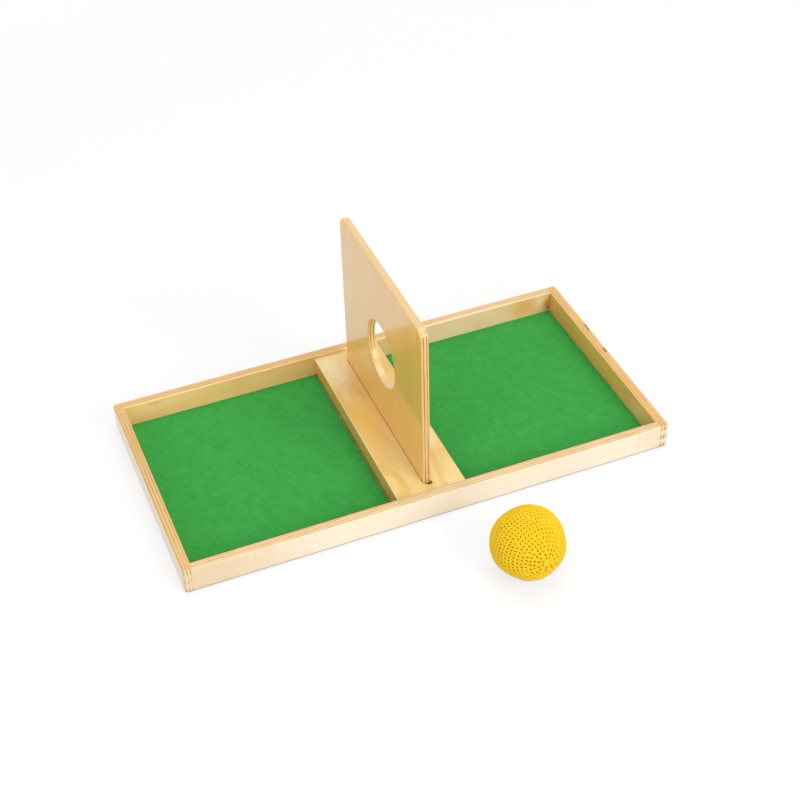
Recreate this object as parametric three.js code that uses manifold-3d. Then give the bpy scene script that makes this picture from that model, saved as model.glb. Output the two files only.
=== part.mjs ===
// Ball-posting toy for a young child: a finger-jointed plywood tray with two felt-lined
// compartments, a slotted bar between them, an upright board with a round hole that lifts
// out of the slot, and a stuffed crocheted ball that is pushed through the hole.
// Millimetres, +Z up, origin at the centre of the tray's underside, front of the tray at -Y.
import * as THREE from 'three';
import { mergeVertices } from 'three/addons/utils/BufferGeometryUtils.js';
import Module from 'manifold-3d';

// Tray
const TRAY_LENGTH = 510;
const TRAY_WIDTH = 258;
const TRAY_HEIGHT = 28.5;
const WALL_THICKNESS = 10;
const FINGERS_PER_CORNER = 5;
const CORNER_RADIUS = 3;
const RIM_RADIUS = 1.5;
const GLUE_LINE = 0.1;

// Base panel, let into a rebate round the inside of the walls
const BASE_THICKNESS = 3;
const REBATE_DEPTH = 5;

// Felt lining
const FELT_THICKNESS = 1;
const FELT_MARGIN = 0.6;

// Slotted bar
const BAR_WIDTH = 72;
const BAR_BELOW_RIM = 3.5;
const BAR_EDGE_RADIUS = 1;
const SLOT_FLOOR = 6;
const SLOT_CLEARANCE = 0.3;
const SLOT_END_PLAY = 2.5;

// Upright board
const BOARD_THICKNESS = 8;
const BOARD_SIDE_GAP = 14;
const BOARD_ABOVE_BAR = 185;
const BOARD_TOP_RADIUS = 11;
const BOARD_FOOT_RADIUS = 3;
const BOARD_EDGE_RADIUS = 1.5;
const HOLE_DIAMETER = 70;
const HOLE_ABOVE_BAR = 84;

// Ball
const BALL_DIAMETER = 72;
const BALL_ROUNDS = 25;
const ROUND_RELIEF = 0.6;
const COVER_THICKNESS = 3;
const DRAWN_OPENING = 3;
const FILLING_CLEARANCE = 0.5;
const BALL_FLAT = 0.5;
const BALL_ASIDE = 49;
const BALL_IN_FRONT = 62;
const BALL_LEAN = 3;
const BALL_TURN = 12;

// Sizes that follow from the ones above
const halfLength = TRAY_LENGTH / 2;
const halfWidth = TRAY_WIDTH / 2;
const innerX = halfLength - WALL_THICKNESS;
const innerY = halfWidth - WALL_THICKNESS;
const fingerHeight = TRAY_HEIGHT / FINGERS_PER_CORNER;
const floorZ = BASE_THICKNESS + GLUE_LINE;
const barTop = TRAY_HEIGHT - BAR_BELOW_RIM;
const slotBottom = floorZ + SLOT_FLOOR;
const boardHalfWidth = innerY - BOARD_SIDE_GAP;
const boardTop = barTop + BOARD_ABOVE_BAR;
const holeZ = barTop + HOLE_ABOVE_BAR;
const ballRadius = BALL_DIAMETER / 2;
const coverInner = ballRadius - COVER_THICKNESS;
const OVERCUT = 2;

const wasm = await Module();
wasm.setup();

// Turns a geometry into a solid that can be joined, cut and intersected.
function solid(geometry) {
  const bare = geometry.clone();
  bare.deleteAttribute('normal');
  bare.deleteAttribute('uv');
  const welded = mergeVertices(bare, 1e-4);
  const source = welded.index.array;
  const triangles = [];
  for (let i = 0; i < source.length; i += 3) {
    const [a, b, c] = [source[i], source[i + 1], source[i + 2]];
    if (a !== b && b !== c && c !== a) {
      triangles.push(a, b, c);
    }
  }
  return new wasm.Manifold(new wasm.Mesh({
    numProp: 3,
    vertProperties: new Float32Array(welded.attributes.position.array),
    triVerts: new Uint32Array(triangles),
  }));
}

// Turns a solid back into a flat-shaded geometry.
function geometryOf(body) {
  const mesh = body.getMesh();
  const geometry = new THREE.BufferGeometry();
  geometry.setAttribute('position', new THREE.BufferAttribute(mesh.vertProperties, 3));
  geometry.setIndex(new THREE.BufferAttribute(mesh.triVerts, 1));
  const flat = geometry.toNonIndexed();
  flat.computeVertexNormals();
  return flat;
}

// A box between two opposite corners.
function box(from, to) {
  const size = to.map((value, axis) => value - from[axis]);
  const geometry = new THREE.BoxGeometry(...size);
  geometry.translate(...to.map((value, axis) => (value + from[axis]) / 2));
  return solid(geometry);
}

// A rectangle centred on the origin across, from low to high, with its own radius at foot and head.
function roundedOutline(halfAcross, low, high, footRadius, headRadius) {
  const shape = new THREE.Shape();
  const corners = [
    [halfAcross - footRadius, low + footRadius, footRadius, -Math.PI / 2],
    [halfAcross - headRadius, high - headRadius, headRadius, 0],
    [-halfAcross + headRadius, high - headRadius, headRadius, Math.PI / 2],
    [-halfAcross + footRadius, low + footRadius, footRadius, Math.PI],
  ];
  for (const [x, y, radius, start] of corners) {
    if (radius > 0) {
      shape.absarc(x, y, radius, start, start + Math.PI / 2);
    } else if (shape.curves.length === 0) {
      shape.moveTo(x, y);
    } else {
      shape.lineTo(x, y);
    }
  }
  shape.closePath();
  return shape;
}

// Extrudes an outline with its edges rounded over on both faces, centred on the extrusion.
function roundedSlab(shape, thickness, edgeRadius, curveSegments) {
  const geometry = new THREE.ExtrudeGeometry(shape, {
    depth: thickness - 2 * edgeRadius,
    bevelEnabled: true,
    bevelThickness: edgeRadius,
    bevelSize: edgeRadius,
    bevelOffset: -edgeRadius,
    bevelSegments: 3,
    curveSegments,
  });
  geometry.translate(0, 0, edgeRadius - thickness / 2);
  return geometry;
}

// Extrudes an outline without rounding, centred on the extrusion.
function prism(shape, length, curveSegments) {
  const geometry = new THREE.ExtrudeGeometry(shape, {
    depth: length,
    bevelEnabled: false,
    curveSegments,
  });
  geometry.translate(0, 0, -length / 2);
  return geometry;
}

// Lays a section drawn as across and up, so that it is extruded along X.
function alongX(geometry) {
  const across = new THREE.Vector3(0, 1, 0);
  const up = new THREE.Vector3(0, 0, 1);
  const along = new THREE.Vector3(1, 0, 0);
  return geometry.applyMatrix4(new THREE.Matrix4().makeBasis(across, up, along));
}

// Lays a section drawn as across and up, so that it is extruded along Y.
function alongY(geometry) {
  return geometry.rotateX(Math.PI / 2);
}

// Section of the tray's inside, flaring at the top into the rounded inner edge of the rim.
function insideSection(half) {
  const shoulder = TRAY_HEIGHT - RIM_RADIUS;
  const shape = new THREE.Shape();
  shape.moveTo(-half, -OVERCUT);
  shape.lineTo(half, -OVERCUT);
  shape.lineTo(half, shoulder);
  shape.absarc(half + RIM_RADIUS, shoulder, RIM_RADIUS, Math.PI, Math.PI / 2, true);
  shape.lineTo(half + RIM_RADIUS, TRAY_HEIGHT + OVERCUT);
  shape.lineTo(-half - RIM_RADIUS, TRAY_HEIGHT + OVERCUT);
  shape.lineTo(-half - RIM_RADIUS, TRAY_HEIGHT);
  shape.absarc(-half - RIM_RADIUS, shoulder, RIM_RADIUS, Math.PI / 2, 0, true);
  return shape;
}

// The four walls as one frame, rounded outside and at the rim, with the rebate for the base.
function trayFrame() {
  const plan = roundedOutline(halfLength, -halfWidth, halfWidth, CORNER_RADIUS, CORNER_RADIUS);
  const outside = roundedSlab(plan, TRAY_HEIGHT, RIM_RADIUS, 6);
  outside.translate(0, 0, TRAY_HEIGHT / 2);
  const lengthways = solid(alongX(prism(insideSection(innerY), TRAY_LENGTH, 4)));
  const crossways = solid(alongY(prism(insideSection(innerX), TRAY_WIDTH, 4)));
  const rebate = box(
    [-innerX - REBATE_DEPTH, -innerY - REBATE_DEPTH, -OVERCUT],
    [innerX + REBATE_DEPTH, innerY + REBATE_DEPTH, floorZ],
  );
  return solid(outside).subtract(lengthways.intersect(crossways)).subtract(rebate);
}

// Region of an end wall: the odd fingers, top and bottom ones among them, run through the corner.
function endRegion(side) {
  const near = side * innerX;
  const far = side * (halfLength + OVERCUT);
  const [x0, x1] = [Math.min(near, far), Math.max(near, far)];
  const reach = innerY - GLUE_LINE;
  let region = box([x0, -reach, -OVERCUT], [x1, reach, TRAY_HEIGHT + OVERCUT]);
  for (let i = 0; i < FINGERS_PER_CORNER; i += 2) {
    const z0 = i === 0 ? -OVERCUT : i * fingerHeight;
    const z1 = i === FINGERS_PER_CORNER - 1 ? TRAY_HEIGHT + OVERCUT : (i + 1) * fingerHeight;
    region = region.add(box([x0, -halfWidth - OVERCUT, z0], [x1, halfWidth + OVERCUT, z1]));
  }
  return region;
}

// Region of a long wall: butts between the end walls, and its even fingers run through the corner.
function longRegion(side) {
  const near = side * innerY;
  const far = side * (halfWidth + OVERCUT);
  const [y0, y1] = [Math.min(near, far), Math.max(near, far)];
  const reach = innerX - GLUE_LINE;
  let region = box([-reach, y0, -OVERCUT], [reach, y1, TRAY_HEIGHT + OVERCUT]);
  for (let i = 1; i < FINGERS_PER_CORNER; i += 2) {
    const z0 = i * fingerHeight + GLUE_LINE;
    const z1 = (i + 1) * fingerHeight - GLUE_LINE;
    region = region.add(box([-halfLength - OVERCUT, y0, z0], [halfLength + OVERCUT, y1, z1]));
  }
  return region;
}

// Panel that fills the rebate, flush with the underside of the walls.
function basePanel() {
  const reachX = innerX + REBATE_DEPTH - GLUE_LINE;
  const reachY = innerY + REBATE_DEPTH - GLUE_LINE;
  return box([-reachX, -reachY, 0], [reachX, reachY, BASE_THICKNESS]);
}

// One felt pad, lying between an end wall and the bar.
function feltPad(side) {
  const near = side * (BAR_WIDTH / 2 + FELT_MARGIN);
  const far = side * (innerX - FELT_MARGIN);
  const reach = innerY - FELT_MARGIN;
  return box(
    [Math.min(near, far), -reach, floorZ],
    [Math.max(near, far), reach, floorZ + FELT_THICKNESS],
  );
}

// Solid bar across the tray with a round-ended slot that the board stands in.
function slottedBar() {
  const section = roundedOutline(BAR_WIDTH / 2, floorZ, barTop, 0, BAR_EDGE_RADIUS);
  const length = 2 * (innerY - GLUE_LINE);
  const blank = solid(alongY(prism(section, length, 3)));
  const slotHalf = BOARD_THICKNESS / 2 + SLOT_CLEARANCE;
  const slotReach = boardHalfWidth + SLOT_END_PLAY;
  const plan = roundedOutline(slotHalf, -slotReach, slotReach, slotHalf, slotHalf);
  const depth = barTop - slotBottom + OVERCUT;
  const cutter = prism(plan, depth, 10);
  cutter.translate(0, 0, slotBottom + depth / 2);
  return blank.subtract(solid(cutter));
}

// Upright board with rounded head corners and a round hole, every edge rounded over.
function uprightBoard() {
  const outline = roundedOutline(
    boardHalfWidth,
    slotBottom + GLUE_LINE,
    boardTop,
    BOARD_FOOT_RADIUS,
    BOARD_TOP_RADIUS,
  );
  const rim = new THREE.EllipseCurve(0, holeZ, HOLE_DIAMETER / 2, HOLE_DIAMETER / 2, 0, Math.PI * 2, true);
  outline.holes.push(new THREE.Path(rim.getSpacedPoints(72)));
  return solid(alongX(roundedSlab(outline, BOARD_THICKNESS, BOARD_EDGE_RADIUS, 5)));
}

// Point of a half circle about the ball's axis, from its closed start to its drawn-up end.
function onBall(radius, angle) {
  return new THREE.Vector2(radius * Math.sin(angle), -radius * Math.cos(angle));
}

// Crocheted cover: a ridge for each round of stitches, drawn together round a small opening.
function coverShell() {
  const profile = [new THREE.Vector2(0, -ballRadius)];
  const steps = BALL_ROUNDS * 3;
  const lastAngle = Math.PI - Math.asin(DRAWN_OPENING / 2 / ballRadius);
  for (let i = 1; i <= steps; i += 1) {
    const dip = i % 3 === 0 ? ROUND_RELIEF : 0;
    profile.push(onBall(ballRadius - dip, (lastAngle * i) / steps));
  }
  const innerSteps = 16;
  const innerLast = Math.PI - Math.asin(DRAWN_OPENING / 2 / coverInner);
  for (let i = innerSteps; i >= 1; i -= 1) {
    profile.push(onBall(coverInner, (innerLast * i) / innerSteps));
  }
  profile.push(new THREE.Vector2(0, -coverInner));
  return new THREE.LatheGeometry(profile, 32);
}

// Puts a ball piece at its place on the ground in front of the tray.
function placeBall(geometry) {
  geometry.rotateX(THREE.MathUtils.degToRad(BALL_LEAN));
  geometry.rotateZ(THREE.MathUtils.degToRad(BALL_TURN));
  const y = -halfWidth - BALL_IN_FRONT - ballRadius;
  return geometry.translate(BALL_ASIDE, y, ballRadius - BALL_FLAT);
}

// The cover, pressed flat where the ball lies on the ground.
function ballCover() {
  const reach = TRAY_LENGTH + BALL_DIAMETER;
  const aboveGround = box([-reach, -reach, 0], [reach, reach, reach]);
  return solid(placeBall(coverShell())).intersect(aboveGround);
}

// Round wad of fibre that fills the cover.
function ballFilling() {
  const wad = new THREE.SphereGeometry(coverInner - FILLING_CLEARANCE, 24, 16);
  return solid(placeBall(wad));
}

const finishes = {
  plywood: { color: 0xe6c996, roughness: 0.42, metalness: 0 },
  panel: { color: 0xd9bd8c, roughness: 0.6, metalness: 0 },
  maple: { color: 0xe8c68a, roughness: 0.42, metalness: 0 },
  felt: { color: 0x46a54f, roughness: 0.95, metalness: 0 },
  yarn: { color: 0xf5c928, roughness: 0.9, metalness: 0 },
  wadding: { color: 0xf4f1e8, roughness: 1, metalness: 0 },
};

const toy = new THREE.Group();
toy.name = 'ball_posting_tray';

function place(name, body, finish) {
  const material = new THREE.MeshStandardMaterial(finishes[finish]);
  const mesh = new THREE.Mesh(geometryOf(body), material);
  mesh.name = name;
  toy.add(mesh);
}

const walls = trayFrame();
place('front_wall', walls.intersect(longRegion(-1)), 'plywood');
place('back_wall', walls.intersect(longRegion(1)), 'plywood');
place('left_wall', walls.intersect(endRegion(-1)), 'plywood');
place('right_wall', walls.intersect(endRegion(1)), 'plywood');
place('base_panel', basePanel(), 'panel');
place('left_felt', feltPad(-1), 'felt');
place('right_felt', feltPad(1), 'felt');
place('slotted_bar', slottedBar(), 'maple');
place('upright_board', uprightBoard(), 'plywood');
place('ball_cover', ballCover(), 'yarn');
place('ball_filling', ballFilling(), 'wadding');

export default toy;
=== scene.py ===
"""Dresses a ball posting tray: lacquered plywood, pale hardwood, green felt and a crocheted ball.

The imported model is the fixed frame. The wooden pieces keep their solids and get soft edges and
procedural wood; the felt pads and the ball are modelled here, the ball stitch by stitch.
All lengths are metres, +Z is up, and the front of the tray faces -Y.
"""

import logging
import math
from dataclasses import dataclass, field
from enum import Enum, IntEnum
from typing import Sequence, Union

import bpy
import numpy as np
from bpy.types import Material, Node, NodeSocket, NodeTree, Object
from mathutils import Euler, Matrix, Vector


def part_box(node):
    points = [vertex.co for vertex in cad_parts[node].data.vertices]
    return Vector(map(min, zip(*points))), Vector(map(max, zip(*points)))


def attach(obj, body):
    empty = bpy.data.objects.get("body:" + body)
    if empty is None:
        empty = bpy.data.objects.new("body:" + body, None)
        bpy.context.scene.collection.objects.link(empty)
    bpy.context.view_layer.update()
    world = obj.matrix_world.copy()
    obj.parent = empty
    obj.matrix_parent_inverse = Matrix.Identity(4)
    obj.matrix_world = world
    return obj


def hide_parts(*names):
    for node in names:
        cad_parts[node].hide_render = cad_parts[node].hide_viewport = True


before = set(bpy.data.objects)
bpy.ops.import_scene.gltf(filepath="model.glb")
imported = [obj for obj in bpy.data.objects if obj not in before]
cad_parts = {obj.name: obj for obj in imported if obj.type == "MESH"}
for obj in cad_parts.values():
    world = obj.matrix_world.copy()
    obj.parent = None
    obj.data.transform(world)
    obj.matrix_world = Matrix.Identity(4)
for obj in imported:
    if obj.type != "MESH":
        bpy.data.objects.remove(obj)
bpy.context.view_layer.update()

LOG = logging.getLogger("ball_posting_tray")
MM = 0.001
PHOTO_PIXELS = 800
SENSOR_WIDTH = 36.0
WHITE = (1.0, 1.0, 1.0, 1.0)

# Wooden solids: points closer than this are welded, and edges sharper than this stay sharp.
WELD_DISTANCE = 0.002 * MM
SHARP_ANGLE = math.radians(50)

# Painted patches, natural marks and painted light alike: where the outline lies, how ragged a sharp
# one is, and how much less a soft.
MARK_RIM = 1.05
MARK_RAGGED = 2.2
MARK_SMOOTHED = 1.78

# Matted fibre: the directions of its strands, and how long and flat they lie.
STRAND_ANGLES = (0.35, 1.45, 2.5)
STRAND_STRETCH = (0.16, 1.0, 0.6)

# The stuffed ball: the map that follows its yarn, and the slow waves of its lumps.
YARN_MAP = "yarn"
LUMP_WAVES = np.array([(2.1, 1.4, -2.6), (-3.2, 1.8, 1.1), (0.9, -3.4, 2.2), (3.0, 2.4, 1.6)])
LUMP_PHASES = np.array([0.4, 2.0, 3.9, 5.1])


class Axis(IntEnum):
    """Axes of the shared frame."""

    X = 0
    Y = 1
    Z = 2


class Socket(Enum):
    """Kinds of socket that a node group may have."""

    VALUE = "NodeSocketFloat"
    VECTOR = "NodeSocketVector"


@dataclass(frozen=True)
class Tint:
    """A colour by its display values, from 0 to 255."""

    red: float
    green: float
    blue: float

    def linear(self) -> tuple[float, float, float, float]:
        """Gives the colour as linear light, with full alpha."""
        return (*(self._decode(part / 255) for part in (self.red, self.green, self.blue)), 1.0)

    @staticmethod
    def _decode(part: float) -> float:
        """Turns one display value from 0 to 1 into linear light."""
        return part / 12.92 if part <= 0.04045 else ((part + 0.055) / 1.055) ** 2.4


VOID_TINT = Tint(58, 34, 14)
WALL_END_TINT = Tint(240, 214, 176)

Feed = Union[float, tuple, Tint, NodeSocket]


class Graph:
    """A node tree with short calls that each add one node and give back its result."""

    def __init__(self, tree: NodeTree) -> None:
        """Keeps the tree that nodes are added to."""
        self.tree = tree

    def add(self, kind: str, **settings: object) -> Node:
        """Adds a node.

        Args:
            kind: Blender's name of the node type.
            settings: attributes to set on the node.

        Returns:
            The new node.
        """
        node = self.tree.nodes.new(kind)
        for name, value in settings.items():
            setattr(node, name, value)
        return node

    def feed(self, socket: NodeSocket, value: Feed) -> None:
        """Links a result into a socket, or sets the socket to a constant.

        Args:
            socket: where the value goes.
            value: a result, a number, a vector or a tint.
        """
        if isinstance(value, NodeSocket):
            self.tree.links.new(value, socket)
        else:
            socket.default_value = value.linear() if isinstance(value, Tint) else value

    def math(self, operation: str, first: Feed, second: Feed = 0.0) -> NodeSocket:
        """Adds one sum.

        Args:
            operation: Blender's name of the sum.
            first: first number or result.
            second: second number or result, where the sum has one.

        Returns:
            The result's socket.
        """
        node = self.add("ShaderNodeMath", operation=operation)
        self.feed(node.inputs[0], first)
        self.feed(node.inputs[1], second)
        return node.outputs[0]

    def times(self, first: Feed, second: Feed) -> NodeSocket:
        """Multiplies two values."""
        return self.math("MULTIPLY", first, second)

    def plus(self, first: Feed, second: Feed) -> NodeSocket:
        """Adds two values."""
        return self.math("ADD", first, second)

    def span(
        self, value: Feed, low: Feed, high: Feed, start: float = 0.0, end: float = 1.0
    ) -> NodeSocket:
        """Maps a value smoothly from one range to another.

        Args:
            value: what is mapped.
            low: value that gives start.
            high: value that gives end.
            start: result at low.
            end: result at high.

        Returns:
            The result's socket.
        """
        node = self.add("ShaderNodeMapRange", interpolation_type="SMOOTHSTEP")
        for index, part in enumerate((value, low, high, start, end)):
            self.feed(node.inputs[index], part)
        return node.outputs[0]

    def vector(self, operation: str, *parts: Feed) -> Node:
        """Adds one vector sum.

        Args:
            operation: Blender's name of the sum.
            parts: its vectors in order.

        Returns:
            The node.
        """
        node = self.add("ShaderNodeVectorMath", operation=operation)
        for socket, part in zip(node.inputs, parts):
            self.feed(socket, part)
        return node

    def stretch(self, vector: Feed, scale: tuple[float, float, float]) -> NodeSocket:
        """Scales a position by a different factor along each axis."""
        return self.vector("MULTIPLY", vector, scale).outputs["Vector"]

    def turn(self, vector: Feed, angle: float) -> NodeSocket:
        """Turns a position about the upright axis.

        Args:
            vector: position.
            angle: angle in radians.

        Returns:
            The turned position.
        """
        node = self.add("ShaderNodeVectorRotate", rotation_type="Z_AXIS")
        self.feed(node.inputs["Vector"], vector)
        self.feed(node.inputs["Angle"], angle)
        return node.outputs[0]

    def noise(
        self,
        vector: Feed,
        scale: float = 1.0,
        detail: float = 2.0,
        rough: float = 0.5,
        warp: float = 0.0,
    ) -> NodeSocket:
        """Adds soft noise.

        Args:
            vector: position.
            scale: cells in a unit.
            detail: octaves.
            rough: strength of the finer octaves.
            warp: how far the noise is bent by itself.

        Returns:
            The noise from 0 to 1.
        """
        node = self.add("ShaderNodeTexNoise")
        names = ("Vector", "Scale", "Detail", "Roughness", "Distortion")
        for name, value in zip(names, (vector, scale, detail, rough, warp)):
            self.feed(node.inputs[name], value)
        return node.outputs[0]

    def split(self, vector: Feed) -> list[NodeSocket]:
        """Takes a vector apart.

        Args:
            vector: what is taken apart.

        Returns:
            Its three values.
        """
        node = self.add("ShaderNodeSeparateXYZ")
        self.feed(node.inputs[0], vector)
        return list(node.outputs)

    def join(self, parts: Sequence[Feed]) -> NodeSocket:
        """Puts three values together as a vector.

        Args:
            parts: the values.

        Returns:
            The vector.
        """
        node = self.add("ShaderNodeCombineXYZ")
        for socket, part in zip(node.inputs, parts):
            self.feed(socket, part)
        return node.outputs[0]

    def mix(self, factor: Feed, first: Feed, second: Feed) -> NodeSocket:
        """Mixes two colours.

        Args:
            factor: share of the second colour.
            first: first colour.
            second: second colour.

        Returns:
            The mixed colour.
        """
        node = self.add("ShaderNodeMix", data_type="RGBA", clamp_factor=True)
        self.feed(node.inputs[0], factor)
        self.feed(node.inputs[6], first)
        self.feed(node.inputs[7], second)
        return node.outputs[2]

    def tone(self, colour: Feed, mask: Feed, share: Feed, tint: Feed) -> NodeSocket:
        """Lays a tint over a colour, by a share of a mask."""
        return self.mix(self.times(mask, share), colour, tint)

    def group(self, tree: NodeTree, **inputs: Feed) -> dict[str, NodeSocket]:
        """Places a node group.

        Args:
            tree: the group.
            inputs: what goes into its named inputs.

        Returns:
            The group's results by name.
        """
        node = self.add("ShaderNodeGroup", node_tree=tree)
        for name, value in inputs.items():
            self.feed(node.inputs[name], value)
        return {socket.name: socket for socket in node.outputs}

    def bump(self, height: Feed, strength: float, distance: float) -> NodeSocket:
        """Turns a height into a normal.

        Args:
            height: height from 0 to 1.
            strength: share of the effect.
            distance: real height of 1, in metres.

        Returns:
            The normal.
        """
        node = self.add("ShaderNodeBump")
        self.feed(node.inputs["Strength"], strength)
        self.feed(node.inputs["Distance"], distance)
        self.feed(node.inputs["Height"], height)
        return node.outputs[0]


class EffectGroup(Graph):
    """A shader node group that is being built, with its inputs by name."""

    def __init__(self, name: str, **inputs: Socket) -> None:
        """Starts a group.

        Args:
            name: the group's name.
            inputs: the kind of each named input.
        """
        super().__init__(bpy.data.node_groups.new(name, "ShaderNodeTree"))
        for label, kind in inputs.items():
            self.tree.interface.new_socket(label, in_out="INPUT", socket_type=kind.value)
        self.take = {socket.name: socket for socket in self.add("NodeGroupInput").outputs}

    def put(self, **results: Feed) -> NodeTree:
        """Gives the group its results, which are all values.

        Args:
            results: each result by name.

        Returns:
            The finished group.
        """
        for label in results:
            self.tree.interface.new_socket(label, in_out="OUTPUT", socket_type=Socket.VALUE.value)
        leave = self.add("NodeGroupOutput")
        for label, value in results.items():
            self.feed(leave.inputs[label], value)
        return self.tree


class Effects:
    """The shader node groups that several finishes share."""

    def __init__(self) -> None:
        """Builds each group once."""
        self.grain = self._grain()
        self.plies = self._plies()
        self.film = self._film()
        self.wear = self._wear()
        self.fibre = self._fibre()
        self.mark = self._mark()

    @staticmethod
    def _grain() -> NodeTree:
        """Builds wood grain: broad figure, growth lines, fine streaks and short pores along X.

        Returns:
            The group.
        """
        group = EffectGroup("Wood grain", Vector=Socket.VECTOR, Tightness=Socket.VALUE)
        along, *others = group.split(group.take["Vector"])
        others = [group.times(part, group.take["Tightness"]) for part in others]
        tight = group.join((along, *others))
        broad = group.stretch(tight, (7.0, 34.0, 34.0))
        figure = group.noise(broad, detail=4.0, rough=0.55, warp=0.8)
        contour = group.noise(group.stretch(tight, (3.4, 15.0, 15.0)), rough=0.45, warp=0.3)
        waves = group.math("SINE", group.times(contour, 52.0))
        streaks = group.noise(group.stretch(tight, (22.0, 900.0, 900.0)), detail=3.0, rough=0.6)
        short = group.stretch(group.take["Vector"], (260.0, 2100.0, 2100.0))
        pores = group.noise(short, detail=1.0)
        return group.put(
            Figure=group.span(figure, low=0.3, high=0.7),
            Lines=group.span(waves, low=0.2, high=1.0),
            Streaks=group.span(streaks, low=0.28, high=0.72),
            Pores=group.span(pores, low=0.66, high=0.74),
        )

    @staticmethod
    def _plies() -> NodeTree:
        """Builds the layers of plywood: cross plies, glue lines between them and small voids.

        Returns:
            The group.
        """
        group = EffectGroup("Plywood layers", Layer=Socket.VALUE, Vector=Socket.VECTOR)
        place = group.take["Vector"]
        wander = group.math("SUBTRACT", group.noise(place, scale=55.0), 0.5)
        layer = group.plus(group.take["Layer"], group.times(wander, 0.5))
        wave = group.math("SINE", group.times(layer, math.pi))
        cross = group.span(wave, low=-0.35, high=-0.8)
        tall = group.stretch(place, (1.0, 1.0, 0.4))
        patches = group.noise(tall, scale=38.0, detail=3.0, rough=0.6)
        fade = group.span(patches, low=0.34, high=0.6, start=0.4)
        gap = group.span(group.noise(place, scale=75.0, rough=0.4), low=0.76, high=0.8)
        return group.put(
            Cross=group.times(cross, fade),
            Glue=group.span(group.math("ABSOLUTE", wave), low=0.2, high=0.0),
            Void=group.times(gap, cross),
        )

    @staticmethod
    def _film() -> NodeTree:
        """Builds a brushed clear lacquer: patches of more and less gloss, and a faint ripple.

        Returns:
            The group.
        """
        group = EffectGroup("Lacquer film", Vector=Socket.VECTOR)
        patch = group.noise(group.take["Vector"], scale=26.0, detail=4.0, rough=0.6)
        ripple = group.noise(group.take["Vector"], scale=420.0)
        return group.put(Patch=group.span(patch, low=0.3, high=0.7), Ripple=ripple)

    @staticmethod
    def _wear() -> NodeTree:
        """Builds the wear of rounded edges, which lie between the main directions of the faces.

        Returns:
            The group.
        """
        group = EffectGroup("Worn edges", Vector=Socket.VECTOR, Facing=Socket.VECTOR)
        first, second, third = (
            group.math("ABSOLUTE", part) for part in group.split(group.take["Facing"])
        )
        squarest = group.math("MAXIMUM", group.math("MAXIMUM", first, second), third)
        patch = group.noise(group.take["Vector"], scale=140.0, detail=4.0, rough=0.6)
        rounded = group.span(squarest, low=0.97, high=0.78)
        return group.put(Wear=group.times(rounded, group.span(patch, low=0.35, high=0.65)))

    @staticmethod
    def _fibre() -> NodeTree:
        """Builds matted fibre: short strands lying every way, and slow clouds of tone.

        Returns:
            The group.
        """
        group = EffectGroup("Matted fibre", Vector=Socket.VECTOR, Strands=Socket.VALUE)
        scaled = group.vector("SCALE", group.take["Vector"])
        group.feed(scaled.inputs["Scale"], group.take["Strands"])
        turned = [group.turn(scaled.outputs["Vector"], angle) for angle in STRAND_ANGLES]
        first, second, third = (
            group.noise(group.stretch(way, STRAND_STRETCH), rough=0.6, warp=0.5) for way in turned
        )
        strands = group.math("MAXIMUM", group.math("MAXIMUM", first, second), third)
        cloud = group.noise(group.take["Vector"], scale=95.0, detail=5.0, rough=0.65)
        return group.put(
            Strand=group.span(strands, low=0.42, high=0.78),
            Cloud=group.span(cloud, low=0.3, high=0.7),
        )

    @staticmethod
    def _mark() -> NodeTree:
        """Builds one patch, for natural marks and for painted shade and highlights: its outline is
        the more ragged the sharper it is.

        Returns:
            The group.
        """
        group = EffectGroup(
            "Wood mark and painted light",
            Vector=Socket.VECTOR,
            Place=Socket.VECTOR,
            Reach=Socket.VECTOR,
            Softness=Socket.VALUE,
        )
        spot, softness = group.take["Vector"], group.take["Softness"]
        away = group.vector("SUBTRACT", spot, group.take["Place"]).outputs["Vector"]
        share = group.vector("DIVIDE", away, group.take["Reach"]).outputs["Vector"]
        length = group.vector("LENGTH", share).outputs["Value"]
        raggedness = group.math("SUBTRACT", MARK_RAGGED, group.times(softness, MARK_SMOOTHED))
        ragged = group.math("SUBTRACT", group.noise(spot, scale=260.0, detail=3.0), 0.5)
        length = group.plus(length, group.times(ragged, raggedness))
        inner = group.math("SUBTRACT", MARK_RIM, softness)
        return group.put(Mask=group.span(length, MARK_RIM, inner))


@dataclass(frozen=True)
class Mark:
    """A patch in the wood's colour, for natural marks and for painted shade, shadow and highlights:
    place and reach in millimetres.
    """

    place: tuple[float, float, float]
    reach: tuple[float, float, float]
    tint: Tint
    strength: float = 0.85
    soft: float = 0.45


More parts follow.
